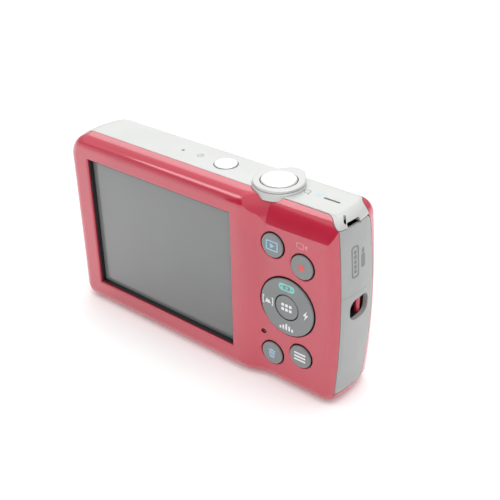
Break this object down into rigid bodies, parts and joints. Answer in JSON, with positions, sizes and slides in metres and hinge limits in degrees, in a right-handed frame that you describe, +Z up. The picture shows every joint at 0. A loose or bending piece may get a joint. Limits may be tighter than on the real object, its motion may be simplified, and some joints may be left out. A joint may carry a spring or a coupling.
{
  "type": "compact digital camera",
  "caption": "Slim pocket digital camera with a flat rear screen, rocking control pad, top zoom lever, retracting lens, hinged terminal cover and base battery door.",
  "frame": {"origin": "centre of the base, midway across the width and the depth, on the surface the camera stands on", "axes": "+X to the viewer's right, +Y forward along the lens axis, +Z up; the screen faces -Y"},
  "size_m": [0.0952, 0.022, 0.056],
  "materials": {
    "shell_paint": "metallic cherry red gloss",
    "silver_paint": "pale silver satin",
    "grey_plastic": "satin",
    "black_plastic": "matte",
    "window_glass": "clear, gloss",
    "screen_glass": "switched-off grey",
    "bare_metal": "plain",
    "key_plastic": "satin grey",
    "circuit_board": "solder resist",
    "lamp_plastic": "clear",
    "chrome_trim": "polished",
    "gear_plastic": "natural",
    "brass_gear": "plain",
    "barrel_metal": "satin",
    "lens_glass": "coated",
    "blade_metal": "matte black",
    "battery_wrap": "satin",
    "card_plastic": "satin",
    "strap_bar_paint": "gloss red",
    "flash_glass": "ribbed clear",
    "capacitor_sleeve": "gloss sleeve"
  },
  "bodies": {
    "body": {"rear_case": "shell_paint", "front_case": "shell_paint", "top_cover": "silver_paint", "side_panel": "grey_plastic", "chassis": "black_plastic", "screen_bezel": "black_plastic", "screen_window": "window_glass", "lcd_panel": "screen_glass", "backlight_tray": "bare_metal", "key_board": "circuit_board", "key_domes": "bare_metal", "status_lamp": "lamp_plastic", "top_board": "circuit_board", "speaker": "black_plastic", "microphone": "bare_metal", "lens_housing": "black_plastic", "lens_trim_ring": "chrome_trim", "zoom_motor": "bare_metal", "image_sensor": "screen_glass", "sensor_board": "circuit_board", "main_board": "circuit_board", "battery": "battery_wrap", "battery_box": "black_plastic", "memory_card": "card_plastic", "card_slot": "bare_metal", "door_hinge_pin": "bare_metal", "tripod_socket": "bare_metal", "strap_recess": "black_plastic", "strap_bar": "strap_bar_paint", "terminal_port": "bare_metal", "flash_window": "flash_glass", "flash_reflector": "chrome_trim", "flash_tube": "flash_glass", "flash_capacitor": "capacitor_sleeve", "af_lamp": "lamp_plastic", "base_screws": "bare_metal", "side_screws": "bare_metal"},
    "outer_lens": {"outer_barrel": "barrel_metal", "rear_lens": "lens_glass"},
    "inner_lens": {"inner_barrel": "barrel_metal", "front_lens": "lens_glass"},
    "upper_blade": {"barrier_blade_upper": "blade_metal"},
    "lower_blade": {"barrier_blade_lower": "blade_metal"},
    "drive_ring": {"zoom_ring": "black_plastic"},
    "idler": {"idler_gear": "gear_plastic"},
    "pinion": {"motor_pinion": "brass_gear"},
    "shutter": {"shutter_button": "silver_paint"},
    "lever": {"zoom_lever": "silver_paint", "lever_retainer": "bare_metal"},
    "power": {"power_button": "silver_paint"},
    "play": {"play_button": "key_plastic"},
    "movie": {"movie_button": "key_plastic"},
    "delete": {"delete_button": "key_plastic"},
    "menu": {"menu_button": "key_plastic"},
    "set": {"set_button": "key_plastic"},
    "pad_carrier": {"pad_pivot": "black_plastic"},
    "pad": {"control_pad": "key_plastic"},
    "cover": {"terminal_cover": "grey_plastic"},
    "door": {"battery_door": "shell_paint"},
    "latch": {"door_latch": "key_plastic"}
  },
  "joints": [
    {"name": "zoom_ring_turn", "type": "hinge", "parent": "body", "child": "drive_ring", "pos_m": [-0.012, 0, 0.0272], "axis": [0, 1, 0], "range_deg": [0, 110]},
    {"name": "outer_barrel_extend", "type": "slide", "parent": "body", "child": "outer_lens", "axis": [0, 1, 0], "range_m": [0, 0.0105]},
    {"name": "inner_barrel_extend", "type": "slide", "parent": "outer_lens", "child": "inner_lens", "axis": [0, 1, 0], "range_m": [0, 0.0095]},
    {"name": "upper_blade_open", "type": "hinge", "parent": "inner_lens", "child": "upper_blade", "pos_m": [-0.0215, 0.009, 0.0282], "axis": [0, -1, 0], "range_deg": [0, 31]},
    {"name": "lower_blade_open", "type": "hinge", "parent": "inner_lens", "child": "lower_blade", "pos_m": [-0.0025, 0.009, 0.0262], "axis": [0, -1, 0], "range_deg": [0, 31]},
    {"name": "idler_turn", "type": "hinge", "parent": "body", "child": "idler", "pos_m": [-0.02721, -0.0032, 0.01351], "axis": [0, 1, 0], "range_deg": [-452, 0]},
    {"name": "pinion_turn", "type": "hinge", "parent": "body", "child": "pinion", "pos_m": [-0.03171, -0.0032, 0.00945], "axis": [0, 1, 0], "range_deg": [0, 903]},
    {"name": "shutter_press", "type": "slide", "parent": "body", "child": "shutter", "axis": [0, 0, -1], "range_m": [0, 0.0008], "stiffness_N_per_m": 1500},
    {"name": "zoom_lever_turn", "type": "hinge", "parent": "body", "child": "lever", "pos_m": [0.0222, -0.0006, 0.0555], "axis": [0, 0, 1], "range_deg": [-18, 18], "stiffness_Nm_per_rad": 0.03},
    {"name": "power_press", "type": "slide", "parent": "body", "child": "power", "axis": [0, 0, -1], "range_m": [0, 0.0003], "stiffness_N_per_m": 4000},
    {"name": "play_press", "type": "slide", "parent": "body", "child": "play", "axis": [0, 1, 0], "range_m": [0, 0.0003], "stiffness_N_per_m": 5000},
    {"name": "movie_press", "type": "slide", "parent": "body", "child": "movie", "axis": [0, 1, 0], "range_m": [0, 0.0003], "stiffness_N_per_m": 5000},
    {"name": "delete_press", "type": "slide", "parent": "body", "child": "delete", "axis": [0, 1, 0], "range_m": [0, 0.0003], "stiffness_N_per_m": 5000},
    {"name": "menu_press", "type": "slide", "parent": "body", "child": "menu", "axis": [0, 1, 0], "range_m": [0, 0.0003], "stiffness_N_per_m": 5000},
    {"name": "set_press", "type": "slide", "parent": "body", "child": "set", "axis": [0, 1, 0], "range_m": [0, 0.0003], "stiffness_N_per_m": 5000},
    {"name": "pad_up_down_rock", "type": "hinge", "parent": "body", "child": "pad_carrier", "pos_m": [0.0314, -0.00688, 0.0258], "axis": [1, 0, 0], "range_deg": [-2, 2], "stiffness_Nm_per_rad": 0.2},
    {"name": "pad_left_right_rock", "type": "hinge", "parent": "pad_carrier", "child": "pad", "pos_m": [0.0314, -0.00688, 0.0258], "axis": [0, 0, 1], "range_deg": [-2, 2], "stiffness_Nm_per_rad": 0.2},
    {"name": "terminal_cover_swing", "type": "hinge", "parent": "body", "child": "cover", "pos_m": [0.0476, 0, 0.033], "axis": [0, 1, 0], "range_deg": [0, 95]},
    {"name": "battery_door_swing", "type": "hinge", "parent": "body", "child": "door", "pos_m": [0.0251, 0.0055, 0.00077], "axis": [1, 0, 0], "range_deg": [0, 95]},
    {"name": "door_latch_slide", "type": "slide", "parent": "door", "child": "latch", "axis": [-1, 0, 0], "range_m": [0, 0.002]}
  ],
  "couplings": [
    {"joint": "zoom_ring_turn", "follows": "outer_barrel_extend", "rad_per_m": 182.83},
    {"joint": "inner_barrel_extend", "follows": "outer_barrel_extend", "ratio": 0.90467},
    {"joint": "upper_blade_open", "follows": "outer_barrel_extend", "rad_per_m": 51.524},
    {"joint": "lower_blade_open", "follows": "outer_barrel_extend", "rad_per_m": 51.524},
    {"joint": "idler_turn", "follows": "outer_barrel_extend", "rad_per_m": -749.59},
    {"joint": "pinion_turn", "follows": "outer_barrel_extend", "rad_per_m": 1499.2}
  ]
}
